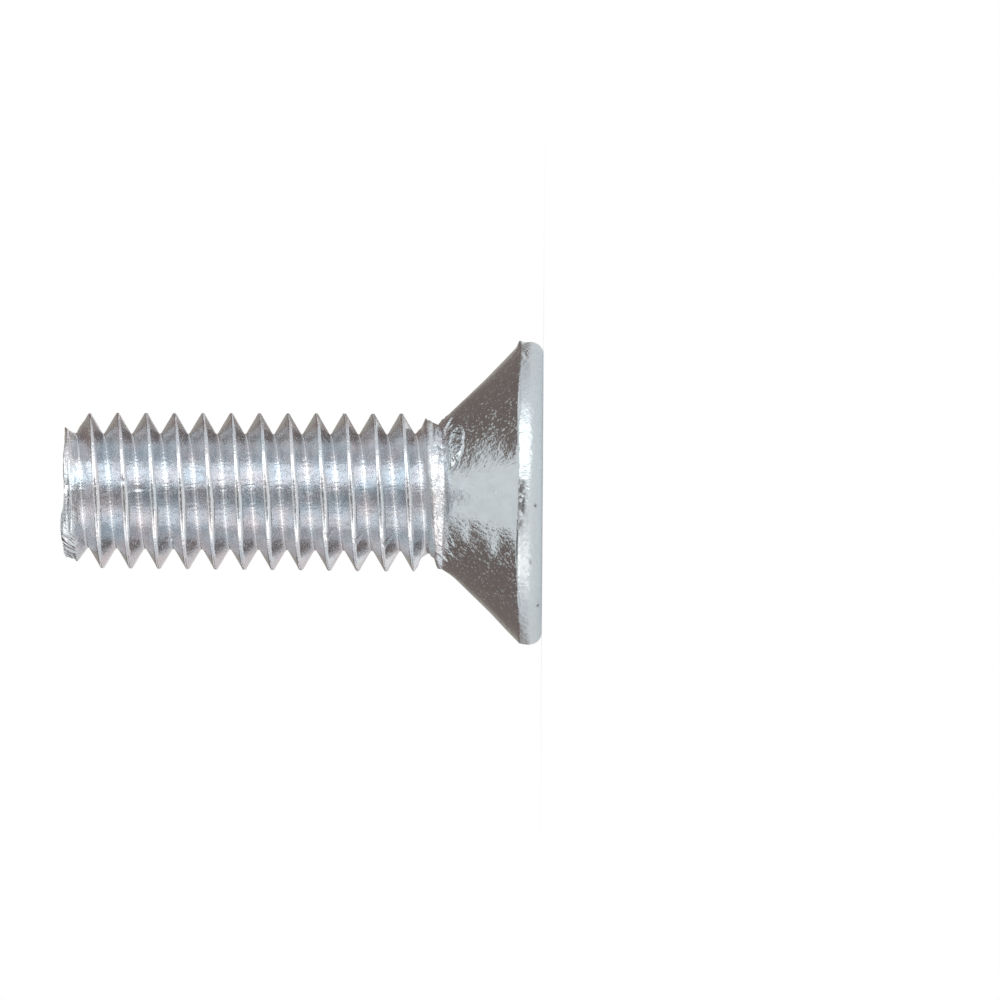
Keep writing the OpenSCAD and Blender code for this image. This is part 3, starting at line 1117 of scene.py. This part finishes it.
# Fine lines run round the point end, between its lip and the last groove
END_WAVES = (1500, 1500, 11000)
end_noise = noise_at(calc_vector("MULTIPLY", spot, END_WAVES), scale=1, detail=1, roughness=0.5)
end_lines = in_zone(end_noise, end_zone, height=45)

# Pimples and short streaks of the plating: low bumps with a rough skin
PIMPLE_H = 6.0
HEAD_SMALL_PIMPLE_H = 4.3
THREAD_SMALL_PIMPLE_H = 3.0
STREAK_H = 8.0
pimpled = calc_paint("SUBTRACT", 1.0, clean_zone)
pimples = calc_paint("MULTIPLY", specks(spot, scale=6500, size=0.31, share=0.68), pimpled)
small_pimples = calc_paint("MULTIPLY", specks(spot, scale=12500, size=0.38, share=0.72), pimpled)
streaked = calc_paint("MULTIPLY", cone_zone, pimpled)
streaks = calc_paint("MULTIPLY", specks(cone_lay, scale=1, size=0.42, share=0.3), streaked)
pimple_skin = calc_paint("MAXIMUM", calc_paint("MAXIMUM", pimples, small_pimples), streaks)
small_height = mixed_value(threaded_zone, HEAD_SMALL_PIMPLE_H, THREAD_SMALL_PIMPLE_H)
pimples = calc_paint("MULTIPLY", pimples, PIMPLE_H)
small_pimples = calc_paint("MULTIPLY", small_pimples, small_height)
streaks = calc_paint("MULTIPLY", streaks, STREAK_H)

# Crest and root lines are rough, where the dies pressed hardest and the plating built up.
# Each pair is where a line starts and where it is whole, on the way from crest to root.
CREST_LINE = (0.22, 0.12)
CREST_LINE_SHARE = 0.5
ROOT_LINE = (0.84, 0.92)
crest_line = calc_paint("MULTIPLY", step_between(groove_place, *CREST_LINE), CREST_LINE_SHARE)
line_zone = calc_paint("ADD", crest_line, step_between(groove_place, *ROOT_LINE))
line_zone = calc_paint("MULTIPLY", line_zone, threaded_zone)
line_noise = noise_at(spot, scale=17000, detail=2, roughness=0.5)
line_grain = in_zone(line_noise, line_zone, height=16)

height = helix_lines
for layer in (
    cone_lines,
    streaks,
    grain,
    mid_grain,
    rough_grain,
    rim_waves,
    line_grain,
    flap_lines,
    end_lines,
    pimples,
    small_pimples,
):
    height = calc_paint("ADD", height, layer)
bump = add_node(tree, "ShaderNodeBump", {"Height": height, "Strength": 1.0, "Distance": UM})

# Colour: zinc on the thread is brighter than on the forged head, and the recess shows more blue.
# Each pair is the range of noise over which one shade turns into the other.
THREAD_PATCHES = (-0.32, 0.32)
HEAD_PATCHES = (-0.3, 0.3)
thread_noise = noise_at(spot, scale=1400, detail=2, roughness=0.5)
thread_patches = step_between(thread_noise, *THREAD_PATCHES)
thread_skin = mixed_colour(thread_patches, THREAD_COLOUR, WARM_THREAD_COLOUR)
streak_noise = noise_at(cone_lay, scale=0.35, detail=3, roughness=0.6)
patch_noise = calc_paint("ADD", streak_noise, noise_at(spot, scale=4000, detail=3, roughness=0.6))
head_skin = mixed_colour(step_between(patch_noise, *HEAD_PATCHES), HEAD_COLOUR, DULL_COLOUR)
head_skin = mixed_colour(rim_zone, head_skin, RIM_COLOUR)
sparkle = calc_paint("MULTIPLY", specks(spot, scale=5200, size=0.2, share=0.12), cone_zone)
head_skin = mixed_colour(sparkle, head_skin, SPARKLE_COLOUR)
head_skin = mixed_colour(recess_zone, head_skin, RECESS_COLOUR)
shank_share = calc_paint("MAXIMUM", threaded_zone, collar_zone)
colour = mixed_colour(shank_share, head_skin, thread_skin)

# Painted shade darkens the nicks and pits of the rim, and a painted dark reflection darkens the seam of
# the crests at the front
PAINTED_SHADE_PATCHES = (-0.12, 0.06)
painted_shade_noise = noise_at(spot, scale=11000, detail=2, roughness=0.5)
painted_shade = calc_paint("MULTIPLY", painted_shade_zone, step_between(painted_shade_noise, *PAINTED_SHADE_PATCHES))
colour = mixed_colour(painted_shade, colour, PAINTED_SHADE_COLOUR)

# The cone is the smoothest, and the rim and the skin of the pimples are dull
HEAD_ROUGHNESS = 0.18
THREAD_ROUGHNESS = 0.2
CONE_ROUGHNESS = 0.1
RIM_ROUGHNESS = 0.39
FLAP_ROUGHNESS = 0.18
ROUGHNESS_NOISE = 0.12
PIMPLE_ROUGHNESS = 0.5
PIMPLE_SPREAD = 0.5
roughness = mixed_value(threaded_zone, HEAD_ROUGHNESS, THREAD_ROUGHNESS)
roughness = mixed_value(cone_zone, roughness, CONE_ROUGHNESS)
roughness = mixed_value(rim_zone, roughness, RIM_ROUGHNESS)
roughness = mixed_value(flap_zone, roughness, FLAP_ROUGHNESS)
dull_noise = noise_at(spot, scale=5000, detail=3, roughness=0.6)
roughness = calc_paint("ADD", roughness, calc_paint("MULTIPLY", dull_noise, ROUGHNESS_NOISE))
roughness = mixed_value(calc_paint("POWER", pimple_skin, PIMPLE_SPREAD), roughness, PIMPLE_ROUGHNESS)
shader = add_node(
    tree,
    "ShaderNodeBsdfPrincipled",
    {
        "Base Color": colour,
        "Metallic": 1.0,
        "Roughness": roughness,
        "Normal": bump.outputs[0],
    },
)
add_node(tree, "ShaderNodeOutputMaterial", {0: shader.outputs[0]})

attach(screw, "root")
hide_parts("screw")
